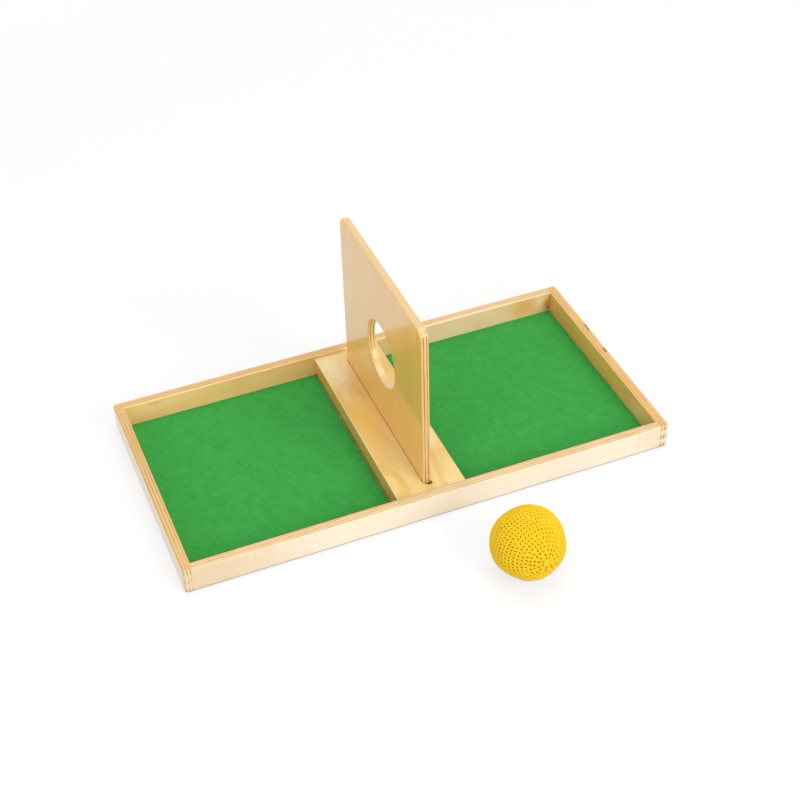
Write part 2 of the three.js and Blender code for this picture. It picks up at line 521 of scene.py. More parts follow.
class Finish:
    """A material that is being made: its graph, its shader and its place on the piece."""

    def __init__(self, name: str) -> None:
        """Starts a material with one shader.

        Args:
            name: the material's name.
        """
        self.material = bpy.data.materials.new(name)
        self.material.use_nodes = True
        self.graph = Graph(self.material.node_tree)
        self.shader = self.material.node_tree.nodes["Principled BSDF"]
        place = self.graph.add("ShaderNodeTexCoord")
        self.spot = place.outputs["Object"]
        self.normal = place.outputs["Normal"]

    def lacquer(self, effects: Effects) -> tuple[dict[str, NodeSocket], NodeSocket]:
        """Places the lacquer film and the wear of the edges.

        Args:
            effects: the shared groups.

        Returns:
            The film's results by name, and the wear.
        """
        film = self.graph.group(effects.film, Vector=self.spot)
        wear = self.graph.group(effects.wear, Vector=self.spot, Facing=self.normal)
        return film, wear["Wear"]

    def paint(self, effects: Effects, colour: Feed, marks: Sequence[Mark]) -> Feed:
        """Paints patches over a colour: natural marks, and painted shade, shadow and highlights.

        Args:
            effects: the shared groups.
            colour: the colour so far.
            marks: what is painted.

        Returns:
            The colour with its marks.
        """
        for mark in marks:
            place, reach = (
                tuple(part * MM for part in triple) for triple in (mark.place, mark.reach)
            )
            patch = self.graph.group(
                effects.mark, Vector=self.spot, Place=place, Reach=reach, Softness=mark.soft
            )
            colour = self.graph.tone(colour, patch["Mask"], mark.strength, mark.tint)
        return colour

    def set(self, **values: Feed) -> None:
        """Sets or links the shader's sockets, with underscores for the spaces in their names."""
        for name, value in values.items():
            self.graph.feed(self.shader.inputs[name.replace("_", " ")], value)


@dataclass(frozen=True)
class Plywood:
    """Lacquered plywood with its plies on the edges.

    The grain of the outer plies runs along one axis, and the plies are stacked along another.
    """

    name: str
    plies: int
    stacked: Axis
    along: Axis
    face: Tint = Tint(240, 205, 138)
    warm: Tint = Tint(224, 178, 98)
    edge: Tint = Tint(222, 184, 120)
    cross: Tint = Tint(148, 92, 36)
    glue: Tint = Tint(140, 90, 38)
    void: Tint = VOID_TINT
    end: Tint = Tint(236, 196, 130)
    figure: float = 0.5
    roughness: float = 0.34
    coat: float = 0.7
    coat_roughness: float = 0.09
    grain_relief: float = 0.25
    streak_relief: float = 0.35
    ripple_relief: float = 0.2
    glue_relief: float = 0.5
    patchiness: float = 0.08
    dullness: float = 0.1
    # Painted light: the paler tints of the outer face, and how far they replace the face colour.
    outside: Tint = Tint(243, 226, 198)
    outside_warm: Tint = Tint(236, 210, 170)
    pale_outside: float = 0.0
    outer_high: bool = False
    sanded: float = 0.0
    line: float = 0.58
    end_line: float = 1.25
    # Painted shade at the foot, for the floor's contact shadow: it starts at the first height and
    # is full at the second.
    foot_shade_top: float = 2.4 * MM
    foot_shade_bottom: float = 1.4 * MM
    marks: tuple[Mark, ...] = ()

    @classmethod
    def wall(cls, name: str, stacked: Axis, **settings: object) -> "Plywood":
        """Gives the finish of one wall: seven plies, sanded thin on the outer face, which is
        painted paler as painted light.

        Args:
            name: the material's name.
            stacked: axis that the plies are stacked along.
            settings: what else differs from plain plywood.

        Returns:
            The finish.
        """
        along = Axis.X if stacked is Axis.Y else Axis.Y
        return cls(name, 7, stacked, along, pale_outside=1.0, sanded=0.8, **settings)

    def make(self, effects: Effects, low: Vector, high: Vector) -> Material:
        """Makes the material for one piece.

        Args:
            effects: the shared groups.
            low: lowest corner of the piece.
            high: highest corner of the piece.

        Returns:
            The material.
        """
        finish = Finish(self.name)
        graph = finish.graph
        spot, normal = graph.split(finish.spot), graph.split(finish.normal)
        facing = [graph.math("ABSOLUTE", part) for part in normal]
        third = (set(Axis) - {self.stacked, self.along}).pop()
        laid = graph.join((spot[self.along], spot[third], spot[self.stacked]))
        thickness = high[self.stacked] - low[self.stacked]
        outer = (high if self.outer_high else low)[self.stacked]
        depth = graph.math("ABSOLUTE", graph.math("SUBTRACT", spot[self.stacked], outer))
        layer = graph.times(depth, (self.plies - self.sanded) / thickness)
        layer = graph.plus(layer, self.sanded)
        plies = graph.group(effects.plies, Layer=layer, Vector=finish.spot)
        grain = graph.group(effects.grain, Vector=laid, Tightness=1.0)
        film, wear = finish.lacquer(effects)
        inside = graph.span(facing[self.stacked], low=0.97, high=0.6)
        on_end = graph.span(facing[self.along], low=0.6, high=0.9)
        cross, glue = graph.times(plies["Cross"], inside), graph.times(plies["Glue"], inside)
        void = graph.times(plies["Void"], inside)

        edge = graph.tone(self.edge, grain["Streaks"], share=0.6, tint=self.warm)
        colour = graph.mix(inside, self._face(graph, grain, normal[self.stacked]), edge)
        colour = graph.tone(colour, on_end, share=0.75, tint=self.end)
        colour = graph.tone(colour, grain["Pores"], share=0.12, tint=self.cross)
        line = graph.plus(graph.times(on_end, self.end_line - self.line), self.line)
        colour = graph.tone(colour, cross, share=line, tint=self.cross)
        colour = graph.tone(colour, glue, share=0.22, tint=self.glue)
        colour = graph.mix(void, colour, self.void)
        colour = finish.paint(effects, colour, self.marks)
        colour = graph.tone(colour, wear, share=0.3, tint=self.face)
        # Painted shade: the lowest millimetres darken towards the glue tint, standing in for the
        # floor's contact shadow.
        foot_shade = graph.span(spot[Axis.Z], self.foot_shade_top, self.foot_shade_bottom)
        colour = graph.tone(colour, foot_shade, share=0.75, tint=self.glue)

        gloss = graph.times(film["Patch"], self.patchiness)
        gloss = graph.plus(gloss, self.roughness - self.patchiness / 2)
        gloss = graph.plus(gloss, graph.times(graph.plus(cross, wear), self.dullness))
        streaks = graph.times(grain["Streaks"], self.streak_relief)
        relief = graph.plus(streaks, graph.times(film["Ripple"], self.ripple_relief))
        relief = graph.math("SUBTRACT", relief, graph.times(glue, self.glue_relief))
        finish.set(
            Base_Color=colour,
            Roughness=gloss,
            Normal=graph.bump(relief, self.grain_relief, distance=0.05 * MM),
            Specular_IOR_Level=0.25,
            Coat_Weight=self.coat,
            Coat_Roughness=self.coat_roughness,
        )
        return finish.material

    def _face(self, graph: Graph, grain: dict[str, NodeSocket], towards: NodeSocket) -> NodeSocket:
        """Colours the broad faces, of which the outer one may be painted paler: painted light on
        the tray's outer faces.

        Args:
            graph: the material's graph.
            grain: the grain's results.
            towards: the part of the normal that lies along the stack.

        Returns:
            The colour.
        """
        face = graph.tone(self.face, grain["Figure"], self.figure, self.warm)
        face = graph.tone(face, grain["Lines"], 0.35 * self.figure, self.warm)
        # Painted light: the outer face takes its own paler tint.
        pale = graph.tone(self.outside, grain["Figure"], self.figure, self.outside_warm)
        outwards = graph.times(towards, 1.0 if self.outer_high else -1.0)
        outside = graph.span(outwards, low=0.6, high=0.95, end=self.pale_outside)
        return graph.mix(outside, face, pale)


@dataclass(frozen=True)
class SolidWood:
    """Lacquered pale hardwood with straight grain along one axis.

    The outer sides, which lie beyond a distance from the middle, are painted redder and darker as
    painted shade.
    """

    name: str
    along: Axis
    light: Tint = Tint(238, 213, 144)
    warm: Tint = Tint(224, 183, 87)
    line: Tint = Tint(207, 157, 71)
    # Painted shade: the redder, darker tint of the outer sides, and where and how strongly it lies.
    side: Tint = Tint(255, 168, 80)
    shaded_side_from: float = 20 * MM
    shaded_side_full: float = 30 * MM
    shaded_side_share: float = 0.75
    roughness: float = 0.32
    patchiness: float = 0.1
    dullness: float = 0.1
    streak_relief: float = 0.4
    ripple_relief: float = 0.2
    coat: float = 0.9
    marks: tuple[Mark, ...] = ()

    def make(self, effects: Effects) -> Material:
        """Makes the material.

        Args:
            effects: the shared groups.

        Returns:
            The material.
        """
        finish = Finish(self.name)
        graph = finish.graph
        spot = graph.split(finish.spot)
        across, up = (axis for axis in Axis if axis is not self.along)
        laid = graph.join((spot[self.along], spot[across], spot[up]))
        grain = graph.group(effects.grain, Vector=laid, Tightness=0.8)
        film, wear = finish.lacquer(effects)
        colour = graph.tone(self.light, grain["Figure"], share=0.85, tint=self.warm)
        for mask, share in (("Lines", 0.34), ("Streaks", 0.08), ("Pores", 0.16)):
            colour = graph.tone(colour, grain[mask], share, self.line)
        facing = graph.math("ABSOLUTE", graph.split(finish.normal)[across])
        away = graph.math("ABSOLUTE", spot[across])
        # Painted shade: the outer sides facing sideways take the side tint.
        outer = graph.span(away, self.shaded_side_from, self.shaded_side_full, end=self.shaded_side_share)
        colour = graph.tone(colour, graph.span(facing, low=0.9, high=0.99), outer, self.side)
        colour = graph.tone(colour, wear, share=0.6, tint=self.light)
        colour = finish.paint(effects, colour, self.marks)
        gloss = graph.times(film["Patch"], self.patchiness)
        gloss = graph.plus(gloss, self.roughness - self.patchiness / 2)
        gloss = graph.plus(gloss, graph.times(wear, self.dullness))
        streaks = graph.times(grain["Streaks"], self.streak_relief)
        relief = graph.plus(streaks, graph.times(film["Ripple"], self.ripple_relief))
        finish.set(
            Base_Color=colour,
            Roughness=gloss,
            Normal=graph.bump(relief, strength=0.28, distance=0.05 * MM),
            Specular_IOR_Level=0.25,
            Coat_Weight=self.coat,
            Coat_Roughness=0.06,
        )
        return finish.material


@dataclass(frozen=True)
class Felt:
    """Pressed wool felt, with fine and broad strands to the metre."""

    name: str
    base: Tint = Tint(54, 158, 66)
    deep: Tint = Tint(34, 132, 48)
    lit: Tint = Tint(86, 178, 92)
    fine: float = 2600.0
    broad: float = 480.0
    fine_relief: float = 0.4
    broad_relief: float = 0.6

    def make(self, effects: Effects) -> Material:
        """Makes the material.

        Args:
            effects: the shared groups.

        Returns:
            The material.
        """
        finish = Finish(self.name)
        graph = finish.graph
        fine = graph.group(effects.fibre, Vector=finish.spot, Strands=self.fine)
        broad = graph.group(effects.fibre, Vector=finish.spot, Strands=self.broad)
        colour = graph.tone(self.base, fine["Cloud"], share=0.4, tint=self.deep)
        colour = graph.tone(colour, broad["Strand"], share=0.35, tint=self.lit)
        colour = graph.tone(colour, fine["Strand"], share=0.3, tint=self.deep)
        high = graph.times(broad["Strand"], self.broad_relief)
        relief = graph.plus(high, graph.times(fine["Strand"], self.fine_relief))
        finish.set(
            Base_Color=colour,
            Roughness=0.95,
            Normal=graph.bump(relief, strength=0.7, distance=0.18 * MM),
            Specular_IOR_Level=0.08,
            Sheen_Weight=0.06,
            Sheen_Roughness=0.6,
        )
        return finish.material


@dataclass(frozen=True)
class Yarn:
    """Plied cotton yarn, with its twist following the strand."""

    name: str
    base: Tint = Tint(251, 212, 35)
    deep: Tint = Tint(245, 190, 13)
    lit: Tint = Tint(254, 227, 80)
    plies: int = 3
    turns: float = 0.32
    strands: float = 5200.0
    strand_relief: float = 0.3

    def make(self, effects: Effects) -> Material:
        """Makes the material.

        Args:
            effects: the shared groups.

        Returns:
            The material.
        """
        finish = Finish(self.name)
        graph = finish.graph
        yarn_map = graph.add("ShaderNodeUVMap", uv_map=YARN_MAP)
        around, length, _ = graph.split(yarn_map.outputs[0])
        twist = graph.plus(graph.times(length, self.turns), around)
        ply = graph.math("SINE", graph.times(twist, self.plies * math.tau))
        groove = graph.span(ply, low=-0.2, high=-0.95)
        fibre = graph.group(effects.fibre, Vector=finish.spot, Strands=self.strands)
        colour = graph.tone(self.base, fibre["Cloud"], share=0.35, tint=self.lit)
        # Painted shade: the ply grooves are painted darker, besides being sunk by the bump.
        colour = graph.tone(colour, groove, share=0.55, tint=self.deep)
        colour = graph.tone(colour, fibre["Strand"], share=0.25, tint=self.deep)
        strands = graph.times(fibre["Strand"], self.strand_relief)
        relief = graph.math("SUBTRACT", strands, groove)
        finish.set(
            Base_Color=colour,
            Roughness=0.85,
            Normal=graph.bump(relief, strength=0.7, distance=0.12 * MM),
            Specular_IOR_Level=0.1,
            Sheen_Weight=0.05,
            Sheen_Roughness=0.5,
        )
        return finish.material


@dataclass(frozen=True)
class Wadding:
    """Loose fibre that fills the ball and shows only between the stitches, tinted a deeper ochre
    than the yarn as painted shade in the gaps.
    """

    name: str
    base: Tint = Tint(230, 182, 16)
    deep: Tint = Tint(206, 156, 10)
    strands: float = 1800.0

    def make(self, effects: Effects) -> Material:
        """Makes the material.

        Args:
            effects: the shared groups.

        Returns:
            The material.
        """
        finish = Finish(self.name)
        graph = finish.graph
        strand = graph.group(effects.fibre, Vector=finish.spot, Strands=self.strands)["Strand"]
        finish.set(
            Base_Color=graph.mix(strand, self.base, self.deep),
            Roughness=0.95,
            Normal=graph.bump(strand, strength=0.8, distance=0.3 * MM),
            Specular_IOR_Level=0.1,
        )
        return finish.material


def soft_edges() -> NodeTree:
    """Builds the modifier that welds a solid and shades it smooth but for its sharp edges.

    Returns:
        The modifier's node group.
    """
    tree = bpy.data.node_groups.new("Soft edges", "GeometryNodeTree")
    for way in ("INPUT", "OUTPUT"):
        tree.interface.new_socket("Geometry", in_out=way, socket_type="NodeSocketGeometry")
    graph = Graph(tree)
    entry, leave = graph.add("NodeGroupInput"), graph.add("NodeGroupOutput")
    weld = graph.add("GeometryNodeMergeByDistance")
    smooth = graph.add("GeometryNodeSetShadeSmooth", domain="FACE")
    crease = graph.add("GeometryNodeSetShadeSmooth", domain="EDGE")
    angle = graph.add("GeometryNodeInputMeshEdgeAngle")
    sharp = graph.add("FunctionNodeCompare", data_type="FLOAT", operation="GREATER_THAN")
    graph.feed(sharp.inputs[0], angle.outputs["Unsigned Angle"])
    graph.feed(sharp.inputs[1], SHARP_ANGLE)
    graph.feed(weld.inputs["Geometry"], entry.outputs[0])
    graph.feed(weld.inputs["Distance"], WELD_DISTANCE)
    graph.feed(smooth.inputs["Geometry"], weld.outputs[0])
    graph.feed(crease.inputs["Geometry"], smooth.outputs[0])
    graph.feed(crease.inputs["Selection"], sharp.outputs[0])
    graph.feed(crease.inputs["Shade Smooth"], False)
    graph.feed(leave.inputs[0], crease.outputs[0])
    return tree


def new_piece(
    name: str, points: np.ndarray, faces: Sequence[Sequence[int]], material: Material
) -> Object:
    """Makes a smooth mesh piece in the scene.

    Args:
        name: the piece's name.
        points: one row for each point.
        faces: point numbers of each face.
        material: its finish.

    Returns:
        The new object.
    """
    mesh = bpy.data.meshes.new(name)
    mesh.from_pydata(np.asarray(points, float).tolist(), [], faces)
    mesh.polygons.foreach_set("use_smooth", [True] * len(mesh.polygons))
    mesh.materials.append(material)
    mesh.update()
    piece = bpy.data.objects.new(name, mesh)
    bpy.context.scene.collection.objects.link(piece)
    return piece


@dataclass
class Woodwork:
    """The tray's walls and base, the slotted bar and the upright board, which keep their solids."""

    effects: Effects
    edges: NodeTree
    ply_finishes: dict[str, Plywood] = field(
        default_factory=lambda: {
            "front_wall": Plywood.wall(
                "Front wall plywood",
                Axis.Y,
                # Painted light: the outer face's own paler tints.
                outside=Tint(245, 231, 208),
                outside_warm=Tint(239, 216, 181),
                edge=Tint(231, 205, 162),
                end=WALL_END_TINT,
                marks=(
                    Mark((-250, -129, 14), (150, 4, 60), Tint(223, 195, 156), 0.8, 0.9),
                    Mark((252, -129, 14), (46, 4, 60), Tint(232, 204, 164), 0.6, 0.9),
                ),
            ),
            "back_wall": Plywood.wall(
                "Back wall plywood",
                Axis.Y,
                face=Tint(251, 208, 147),
                warm=Tint(244, 186, 108),
                edge=Tint(216, 186, 130),
                figure=0.7,
                outer_high=True,
                marks=(
                    # Painted light: the part right of the board is painted paler, for the light it
                    # gets beside the board's shadow.
                    Mark((132, 119, 15), (140, 3, 60), Tint(255, 218, 180), 0.98, 0.9),
                    Mark((175, 124, 28.5), (150, 9, 1.5), Tint(232, 204, 156), 0.4, 0.9),
                    Mark((157, 119, 12), (14, 3, 8), Tint(246, 188, 116), 0.4, 0.95),
                    Mark((213, 119, 17), (26, 3, 18), Tint(240, 174, 84), 0.7, 1.0),
                    Mark((232, 119, 20), (8, 3, 12), Tint(255, 228, 190), 0.6, 0.95),
                    Mark((242, 119, 14), (8, 3, 14), Tint(228, 150, 64), 0.75, 0.95),
                    Mark((243, 119, 8), (2.5, 3, 3), Tint(130, 76, 32), 0.7, 0.7),
                    Mark((-213, 119, 24), (8, 3, 3.5), Tint(206, 150, 76), 0.35, 0.9),
                ),
            ),
            "left_wall": Plywood.wall(
                "Left wall plywood",
                Axis.X,
                end=WALL_END_TINT,
                # Painted light: the outer face's own tints, set for the light on this side.
                outside=Tint(231, 202, 148),
                outside_warm=Tint(225, 190, 128),
                marks=(Mark((-250, 52, 28.5), (8, 72, 2), Tint(198, 148, 84), 0.4, 0.9),),
            ),
            "right_wall": Plywood.wall(
                "Right wall plywood",
                Axis.X,
                face=Tint(248, 200, 124),
                warm=Tint(238, 175, 88),
                figure=0.8,
                end=WALL_END_TINT,
                outer_high=True,
                marks=(
                    Mark((245, 74, 14), (3, 46, 20), Tint(248, 182, 92), 0.6, 0.75),
                    Mark((245, -92, 14), (3, 32, 20), Tint(255, 218, 154), 0.6, 0.75),
                    Mark((253.2, 46, 28.5), (1.1, 5.5, 4), VOID_TINT, 1.0),
                    Mark((252.4, 3.7, 28.5), (1.1, 5.5, 4), VOID_TINT, 1.0),
                ),
            ),
            "base_panel": Plywood(
                "Base panel plywood", 3, Axis.Z, Axis.X, roughness=0.5, coat=0.1
            ),
            "upright_board": Plywood(
                "Upright board plywood",
                5,
                Axis.X,
                Axis.Z,
                face=Tint(246, 192, 100),
                warm=Tint(238, 177, 82),
                edge=Tint(226, 199, 136),
                end=Tint(228, 194, 144),
                figure=0.45,
                coat=0.8,
                coat_roughness=0.075,
                grain_relief=0.08,
                line=1.0,
                end_line=0.25,
                marks=(Mark((-4, -28, 170.5), (1, 12, 0.6), Tint(168, 120, 66), 0.45),),
            ),
        }
    )
    bar_finish: SolidWood = SolidWood(
        "Slotted bar hardwood",
        Axis.Y,
        marks=(
            # Painted shadow: a dark line along the bar's left foot, where it meets the felt.
            Mark((-36, 0, 3.8), (2.0, 300, 4.6), Tint(54, 46, 16), 0.9, 1.0),
            # Painted light on the top: a golden patch brightens a part that gets less light, and
            # the pale patches are painted reflections.
            Mark((-22, -4, 25), (24, 66, 2.5), Tint(242, 187, 64), 0.55, 0.9),
            Mark((-24, 96, 25), (24, 46, 2.5), Tint(255, 238, 192), 0.6, 0.9),
            Mark((27, -40, 25), (14, 34, 2.5), Tint(255, 234, 188), 0.6, 0.9),
            # Painted shade: a darker line along the bar's right foot.
            Mark((36, 0, 3), (1.8, 300, 4.2), Tint(150, 104, 46), 0.5, 1.0),
            # Painted highlights along the top's two long arrises.
            *(Mark((x, 0, 25), (1.3, 300, 2.5), Tint(255, 228, 176), 0.4) for x in (-36, 36)),
            # Painted shade: thin dark lines for the slot's gap beside the board.
            *(Mark((x, 0, 25), (0.4, 124, 1.5), Tint(140, 92, 40), 0.4) for x in (-4.4, 4.4)),
            # Painted shade inside the slot's ends.
            *(Mark((0, y, 17), (7, 4, 8), Tint(52, 32, 12), 1.0) for y in (-108, 108)),
            # Painted shade: dark crescents on the top where the slot's open ends lie beyond the
            # board.
            Mark((1.4, -106.2, 25), (3.6, 3.0, 1.5), Tint(48, 30, 12), 0.97, 0.35),
            Mark((2.8, 106.4, 25), (4.0, 2.8, 1.5), Tint(60, 36, 14), 0.95, 0.35),
        ),
    )

    def dress(self) -> None:
        """Gives every wooden piece its finish and soft edges."""
        for node, finish in self.ply_finishes.items():
            self._finish(node, finish.make(self.effects, *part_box(node)))
        self._finish("slotted_bar", self.bar_finish.make(self.effects))

    def _finish(self, node: str, material: Material) -> None:
        """Assigns a finish to one solid and softens its edges.

        Args:
            node: the solid's name.
            material: its finish.
        """
        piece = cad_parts[node]
        piece.data.materials.clear()
        piece.data.materials.append(material)
        soften = piece.modifiers.new("Soft edges", "NODES")
        soften.node_group = self.edges
        weigh = piece.modifiers.new("Flat faces", "WEIGHTED_NORMAL")
        weigh.keep_sharp = True
        LOG.info("dressed %s", node)


@dataclass
class FeltPad:
    """One felt pad, laid on the base panel and cut a little unevenly.

    The cut leaves the straight line in waves, each with its share and its angle for each cell.
    """

    node: str
    name: str
    seed: int
    cell: float = 2.5 * MM
    unevenness: float = 0.12 * MM
    smoothings: int = 2
    cut_wander: float = 0.22 * MM
    cut_waves: tuple[tuple[float, float], ...] = ((0.3, 0.31), (0.2, 0.97))
    edge_round: float = 0.35 * MM
    edge_middle: float = 0.3

    def build(self, material: Material) -> Object:
        """Builds the pad and puts it in the place of its solid.

        Args:
            material: the felt.

        Returns:
            The pad.
        """
        low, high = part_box(self.node)
        size = high - low
        counts = [max(2, round(size[axis] / self.cell)) for axis in (Axis.X, Axis.Y)]
        middle_round = self.edge_round * self.edge_middle
        layers = (
            (0.0, 0.0),
            (0.0, size.z - self.edge_round),
            (middle_round, size.z - middle_round),
            (self.edge_round, size.z),
        )
        rim = self._rim(low, high, counts)
        middle = (low + high) / 2
        points, faces = [], []
        for inset, height in layers:
            for x, y in rim:
                inner_x = x - math.copysign(inset, x - middle.x)
                inner_y = y - math.copysign(inset, y - middle.y)
                points.append((inner_x, inner_y, low.z + height))
        around = len(rim)
        for ring in range(len(layers) - 1):
            base, above = ring * around, (ring + 1) * around
            for index in range(around):
                after = (index + 1) % around
                faces.append((base + index, base + after, above + after, above + index))
        faces.append(tuple(reversed(range(around))))
        self._fill(points, faces, counts, around * (len(layers) - 1), high.z)
        pad = new_piece(self.name, np.array(points), faces, material)
        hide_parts(self.node)
        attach(pad, "tray")
        LOG.info("laid %s", self.name)
        return pad

    def _rim(self, low: Vector, high: Vector, counts: Sequence[int]) -> list[tuple[float, float]]:
        """Gives the cut outline, anticlockwise from the low corner.

        Args:
            low: lowest corner.
            high: highest corner.
            counts: cells along X and Y.

        Returns:
            Points of the outline.
        """
        across, along = counts
        xs = np.linspace(low.x, high.x, across + 1)
        ys = np.linspace(low.y, high.y, along + 1)
        phase = np.random.default_rng(self.seed).uniform(0, math.tau, 4)

        def wander(step: int, side: int) -> float:
            """Gives how far the cut leaves the straight line, always inwards."""
            waves = (share * math.sin(step * pace + phase[side]) for share, pace in self.cut_waves)
            return self.cut_wander * sum(waves, 0.5)

        rim = [(x, low.y + wander(i, 0)) for i, x in enumerate(xs[:-1])]
        rim += [(high.x - wander(i, 1), y) for i, y in enumerate(ys[:-1])]
        rim += [(x, high.y - wander(i, 2)) for i, x in enumerate(xs[:0:-1])]
        rim += [(low.x + wander(i, 3), y) for i, y in enumerate(ys[:0:-1])]
        return rim

    def _fill(
        self, points: list, faces: list, counts: Sequence[int], first: int, top: float
    ) -> None:
        """Fills the top with an uneven grid that ends in the outline's last ring.

        Args:
            points: points so far, which grow.
            faces: faces so far, which grow.
            counts: cells along X and Y.
            first: number of the last ring's first point.
            top: height of the top.
        """
        across, along = counts
        walk = [(i, 0) for i in range(across)] + [(across, j) for j in range(along)]
        walk += [(i, along) for i in range(across, 0, -1)] + [(0, j) for j in range(along, 0, -1)]
        grid = {cell: first + offset for offset, cell in enumerate(walk)}
        bumps = np.random.default_rng(self.seed + 1).uniform(-1, 1, (across + 1, along + 1))
        for _ in range(self.smoothings):
            beside = [np.roll(bumps, shift, axis) for shift in (1, -1) for axis in (0, 1)]
            bumps = sum(beside, bumps) / (1 + len(beside))
        bumps /= np.abs(bumps).max()
        for i in range(1, across):
            for j in range(1, along):
                left, right = points[grid[0, j]][0], points[grid[across, j]][0]
                near, far = points[grid[i, 0]][1], points[grid[i, along]][1]
                x = left + (right - left) * i / across
                y = near + (far - near) * j / along
                grid[i, j] = len(points)
                points.append((x, y, top - self.unevenness * (0.5 + 0.5 * bumps[i, j])))
        for i in range(across):
            for j in range(along):
                faces.append((grid[i, j], grid[i + 1, j], grid[i + 1, j + 1], grid[i, j + 1]))


@dataclass(frozen=True)
class Flat:
    """A flatter place on the stuffed ball: its direction, depth in metres and reach in degrees."""

    way: tuple[float, float, float]
    depth: float
    reach: float


@dataclass
class CrochetBall:
    """The stuffed ball: one yarn worked in a spiral of stitches over a wad of fibre.

    Spreads are shares of a stitch, and levels and the level jitter are shares of a round. The
    depths say how far the yarn lies above the middle of the cover, from the foot of a stitch to
    where its legs part; from there to its top it stands proud by the rise. Cover and wad lie a
    little aside of the middle of their solids, along X.
    """

    rounds: int = 28
    equator_stitches: int = 64
    least_stitches: int = 7
    steps: int = 14
    sides: int = 6
    yarn_radius: float = 0.76 * MM
    rise: float = 0.4 * MM
    leg_turn: float = 0.3
    foot_spread: float = 0.15
    top_spread: float = 0.5
    part_from: float = 0.6
    part_over: float = 0.34
    foot_level: float = -0.66
    top_level: float = 0.5
    depth_heights: tuple[float, ...] = (0.0, 0.22, 0.6, 0.85, 1.0)
    leg_depths: tuple[float, ...] = (-1.3 * MM, -0.4 * MM, -0.15 * MM)
    level_jitter: float = 0.018
    spread_jitter: float = 0.06
    depth_jitter: float = 0.06 * MM
    lumpiness: float = 1.6 * MM
    lump_level: float = 0.35
    fullness: float = 0.35 * MM
    aside: float = 0.8 * MM
    flats: tuple[Flat, ...] = (
        Flat((-0.30, 0.59, 0.74), 1.7 * MM, 30.0),
        Flat((-0.68, -0.43, -0.60), 1.3 * MM, 20.0),
        Flat((0.42, -0.81, -0.40), 1.2 * MM, 18.0),
        Flat((0.93, -0.28, 0.24), 0.9 * MM, 26.0),
    )
    lean: float = -10.0
    turn: float = 4.5
    wad_growth: float = 1.62 * MM
    wad_rows: int = 40
    wad_columns: int = 80
    wad_waves: int = 10
    wad_wave_pace: float = 9
    wad_lump: float = 0.016
    seed: int = 11

    def __post_init__(self) -> None:
        """Takes the size from the solid of the cover, and the place from it and the shift aside."""
        low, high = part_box("ball_cover")
        self.radius = (high.x - low.x) / 2
        centre = (low + high) / 2
        self.centre = np.array((centre.x + self.aside, centre.y, high.z - self.radius))
        turned = Euler((math.radians(self.lean), 0.0, math.radians(self.turn))).to_matrix()
        self.axis = np.array(turned @ Vector((0.0, -1.0, 0.0)))
        self.side = np.array(turned @ Vector((1.0, 0.0, 0.0)))
        self.other = np.cross(self.axis, self.side)

    def build(self, yarn: Material, wad: Material) -> None:
        """Builds cover and wad, which replace their solids.

        Args:
            yarn: finish of the cover.
            wad: finish of the filling.
        """
        cover = self._tube("crocheted_cover", self._path(), yarn)
        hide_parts("ball_cover")
        filling = self._wad("fibre_wad", wad)
        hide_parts("ball_filling")
        for piece, slot in ((cover, "yellow_yarn"), (filling, "fibre_filling")):
            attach(piece, "ball")
            LOG.info("worked %s", piece.name)

    def _path(self) -> np.ndarray:
        """Works the yarn's centre line.

        Each stitch starts in a stitch of the round before, rises in two legs that lie close
        together, and parts late into a wide loop that stands proud at its top. So each gap
        between stitches is closed on all four sides.

        Returns:
            One point in each row.
        """
        rng = np.random.default_rng(self.seed)
        s = (np.arange(self.steps) + 0.5) / self.steps
        up = 0.5 - 0.5 * np.cos(math.tau * s)
        level = self.foot_level + (self.top_level - self.foot_level) * up
        swing = np.sin(math.tau * s)
        leg = -swing / np.sqrt(swing**2 + self.leg_turn**2)
        part = np.clip((up - self.part_from) / self.part_over, 0, 1)
        part = part * part * (3 - 2 * part)
        spread = leg * (self.foot_spread + (self.top_spread - self.foot_spread) * part)
        depth = np.interp(up, self.depth_heights, (*self.leg_depths, self.rise, self.rise))
        row = math.pi / self.rounds
        middle = self.radius - self.yarn_radius - self.rise
        points, before = [], self.least_stitches
        for turn in range(self.rounds):
            fitting = round(self.equator_stitches * math.sin((turn + 0.5) * row))
            count = max(self.least_stitches, fitting)
            for stitch in range(count):
                jitter = rng.normal(0.0, 1.0, 3)
                own = (stitch + 0.5) / count
                parent = (math.floor(own * before) + 0.5) / before
                polar = row * (turn + own + level + self.level_jitter * jitter[0])
                wide = spread * (1 + self.spread_jitter * jitter[1]) / count
                place = math.tau * (parent + (own - parent) * up + wide)
                ring = np.cos(place)[:, None] * self.side + np.sin(place)[:, None] * self.other
                way = np.cos(polar)[:, None] * self.axis + np.sin(polar)[:, None] * ring
                reach = middle + depth + self.depth_jitter * jitter[2] + self._swell(way)
                points.append(self.centre + reach[:, None] * way)
            before = count
        path = np.concatenate(points)
        path[:, Axis.Z] = np.maximum(path[:, Axis.Z], self.yarn_radius)
        return path

    def _swell(self, way: np.ndarray) -> np.ndarray:
        """Gives how far the stuffed form stands proud of a true ball.

        Args:
            way: one direction in each row.

        Returns:
            One height for each direction.
        """
        lump = 0.5 + 0.5 * np.sin(way @ LUMP_WAVES.T + LUMP_PHASES).mean(axis=1)
        swell = self.fullness - self.lumpiness * (lump - self.lump_level)
        for flat in self.flats:
            towards = np.array(flat.way) / np.linalg.norm(flat.way)
            angle = np.degrees(np.arccos(np.clip(way @ towards, -1.0, 1.0)))
            swell -= flat.depth * np.exp(-((angle / flat.reach) ** 2))
        return swell

